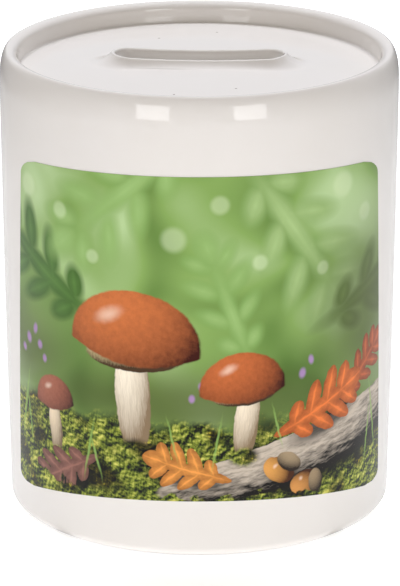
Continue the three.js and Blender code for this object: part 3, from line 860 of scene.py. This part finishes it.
# the soft light all round is weaker overhead and from the sides, and stronger from the front and the left
fall = addNode(tree, "ShaderNodeMapRange", {"Value": part[2], "To Min": 1.0,
                                            "To Max": 1 - studio["ambientFall"]})
aside = addNode(tree, "ShaderNodeMath", {0: part[0], 1: part[0]}, operation="MULTIPLY").outputs[0]
aside = addNode(tree, "ShaderNodeMath", {0: aside, 1: -studio["ambientSides"], 2: 1.0},
                operation="MULTIPLY_ADD").outputs[0]
lean = addNode(tree, "ShaderNodeVectorMath", {0: way, 1: studio["ambientLean"]},
               operation="DOT_PRODUCT").outputs["Value"]
around = addNode(tree, "ShaderNodeMath", {0: aside, 1: lean}, operation="ADD").outputs[0]
around = addNode(tree, "ShaderNodeMath", {0: around, 1: fall.outputs[0]}, operation="MULTIPLY").outputs[0]
around = addNode(tree, "ShaderNodeMath", {0: around, 1: studio["ambientLevel"]},
                 operation="MULTIPLY").outputs[0]
lit = addNode(tree, "ShaderNodeBackground", {"Color": colour(studio["ambient"]), "Strength": around})
room = addNode(tree, "ShaderNodeBackground", {"Color": colour("#ffffff"), "Strength": mirrored})
white = addNode(tree, "ShaderNodeBackground", {"Color": colour("#ffffff"), "Strength": 1.0})
glossy = addNode(tree, "ShaderNodeMath", {0: path["Is Glossy Ray"], 1: path["Is Transmission Ray"]},
                 operation="MAXIMUM").outputs[0]
mixed = addNode(tree, "ShaderNodeMixShader", {0: glossy, 1: lit.outputs[0], 2: room.outputs[0]})
mixed = addNode(tree, "ShaderNodeMixShader", {0: path["Is Camera Ray"], 1: mixed.outputs[0],
                                              2: white.outputs[0]})
addNode(tree, "ShaderNodeOutputWorld", {"Surface": mixed.outputs[0]})

bm = bmesh.new()
bmesh.ops.create_circle(bm, cap_ends=True, segments=96, radius=studio["floorRadius"])
bmesh.ops.translate(bm, verts=bm.verts, vec=(0, 0, -studio["floorDrop"]))
floorMaterial, tree = newMaterial("pale_table")
path = addNode(tree, "ShaderNodeLightPath").outputs
place = addNode(tree, "ShaderNodeTexCoord").outputs["Object"]
plain = addNode(tree, "ShaderNodeBsdfDiffuse", {"Color": colour(studio["floorColour"])})
shown = addNode(tree, "ShaderNodeMath", {0: path["Is Camera Ray"], 1: studio["floorGlow"]},
                operation="MULTIPLY").outputs[0]
glow = addNode(tree, "ShaderNodeEmission", {"Strength": shown})
lit = addNode(tree, "ShaderNodeAddShader", {0: plain.outputs[0], 1: glow.outputs[0]})
# mirrored, the table is nearly white near the piece, dimmer in front, and falls off into the dim room
away = addNode(tree, "ShaderNodeVectorMath", {0: place}, operation="LENGTH").outputs["Value"]
reach = addNode(tree, "ShaderNodeMapRange", {
    "Value": away, "From Min": studio["glowNear"], "From Max": studio["glowFar"],
    "To Min": studio["tableMirror"], "To Max": studio["tableFar"]}).outputs[0]
ahead = addNode(tree, "ShaderNodeSeparateXYZ", {0: place}).outputs[1]
ahead = addNode(tree, "ShaderNodeMapRange", {
    "Value": ahead, "From Min": studio["frontFade"], "From Max": 0.0, "To Min": studio["tableFront"],
    "To Max": 1.0}).outputs[0]
reach = addNode(tree, "ShaderNodeMath", {0: reach, 1: ahead}, operation="MULTIPLY").outputs[0]
mirror = addNode(tree, "ShaderNodeEmission", {"Strength": reach})
glossy = addNode(tree, "ShaderNodeMath", {0: path["Is Glossy Ray"], 1: path["Is Transmission Ray"]},
                 operation="MAXIMUM").outputs[0]
table = addNode(tree, "ShaderNodeMixShader", {0: glossy, 1: lit.outputs[0], 2: mirror.outputs[0]})
# the table isn't there from below, nor under the foot, so that the underside can be looked at
clear = addNode(tree, "ShaderNodeBsdfTransparent")
side = addNode(tree, "ShaderNodeNewGeometry").outputs["Backfacing"]
under = addNode(tree, "ShaderNodeMath", {0: away, 1: studio["footCircle"]},
                operation="LESS_THAN").outputs[0]
hidden = addNode(tree, "ShaderNodeMath", {0: side, 1: under}, operation="MAXIMUM").outputs[0]
table = addNode(tree, "ShaderNodeMixShader", {0: hidden, 1: table.outputs[0], 2: clear.outputs[0]})
addNode(tree, "ShaderNodeOutputMaterial", {"Surface": table.outputs[0]})
floor = makeObject("table_top", finishMesh(bm, "table_top"), floorMaterial)
if floor.data.polygons[0].normal.z < 0:
    floor.data.flip_normals()


def softbox(name, size, power, place, aim):
    data = bpy.data.lights.new(name, "AREA")
    data.shape = "RECTANGLE"
    data.size, data.size_y = size
    data.energy = power
    lamp = bpy.data.objects.new(name, data)
    lamp.location = place
    lamp.rotation_euler = (Vector(aim) - Vector(place)).to_track_quat("-Z", "Y").to_euler()
    lamp.visible_camera = False
    bpy.context.scene.collection.objects.link(lamp)
    return lamp


for number, azimuth in enumerate(studio["lampAzimuths"]):
    turn = math.radians(azimuth)
    height = (studio["lampLow"] + studio["lampHigh"]) / 2
    softbox("front_softbox_%d" % number, (studio["lampWidth"], studio["lampHigh"] - studio["lampLow"]),
            studio["lampPower"],
            (studio["lampDistance"] * math.sin(turn), -studio["lampDistance"] * math.cos(turn), height),
            (0, 0, height))
high = softbox("high_softbox", studio["highSize"], studio["highPower"], studio["highPlace"],
               studio["highAim"])
high.visible_glossy = False
high.data.color = colour(studio["highColour"])[:3]
# four cards on the table in front of, beside and behind the piece
for number, power in enumerate(studio["cardPowers"]):
    turn = math.radians(90 * number)
    inner, outer = studio["cardInner"], studio["cardOuter"]
    x, y = (outer - inner) / 2, -(outer + inner) / 2
    place = Vector((x * math.cos(turn) - y * math.sin(turn), x * math.sin(turn) + y * math.cos(turn),
                    studio["cardHeight"]))
    size = (outer + inner, outer - inner) if number % 2 == 0 else (outer - inner, outer + inner)
    card = softbox("bounce_card_%d" % number, size, power, place, place + Vector((0, 0, 1)))
    card.visible_glossy = False
    card.data.color = colour(studio["cardColour"])[:3]

cameraData = bpy.data.cameras.new("photo_camera")
cameraData.lens = studio["lens"]
cameraData.sensor_width = studio["sensor"]
cameraData.clip_start = studio["clipStart"]
camera = bpy.data.objects.new("photo_camera", cameraData)
pitch = math.radians(studio["pitch"])
camera.location = (0, -studio["distance"] * math.cos(pitch),
                   studio["aimHeight"] + studio["distance"] * math.sin(pitch))
camera.rotation_euler = (math.radians(90 - studio["tilt"]), 0, math.radians(studio["yaw"]))
bpy.context.scene.collection.objects.link(camera)
bpy.context.scene.camera = camera
bpy.context.scene.view_settings.view_transform = "Standard"
print("studio ready")
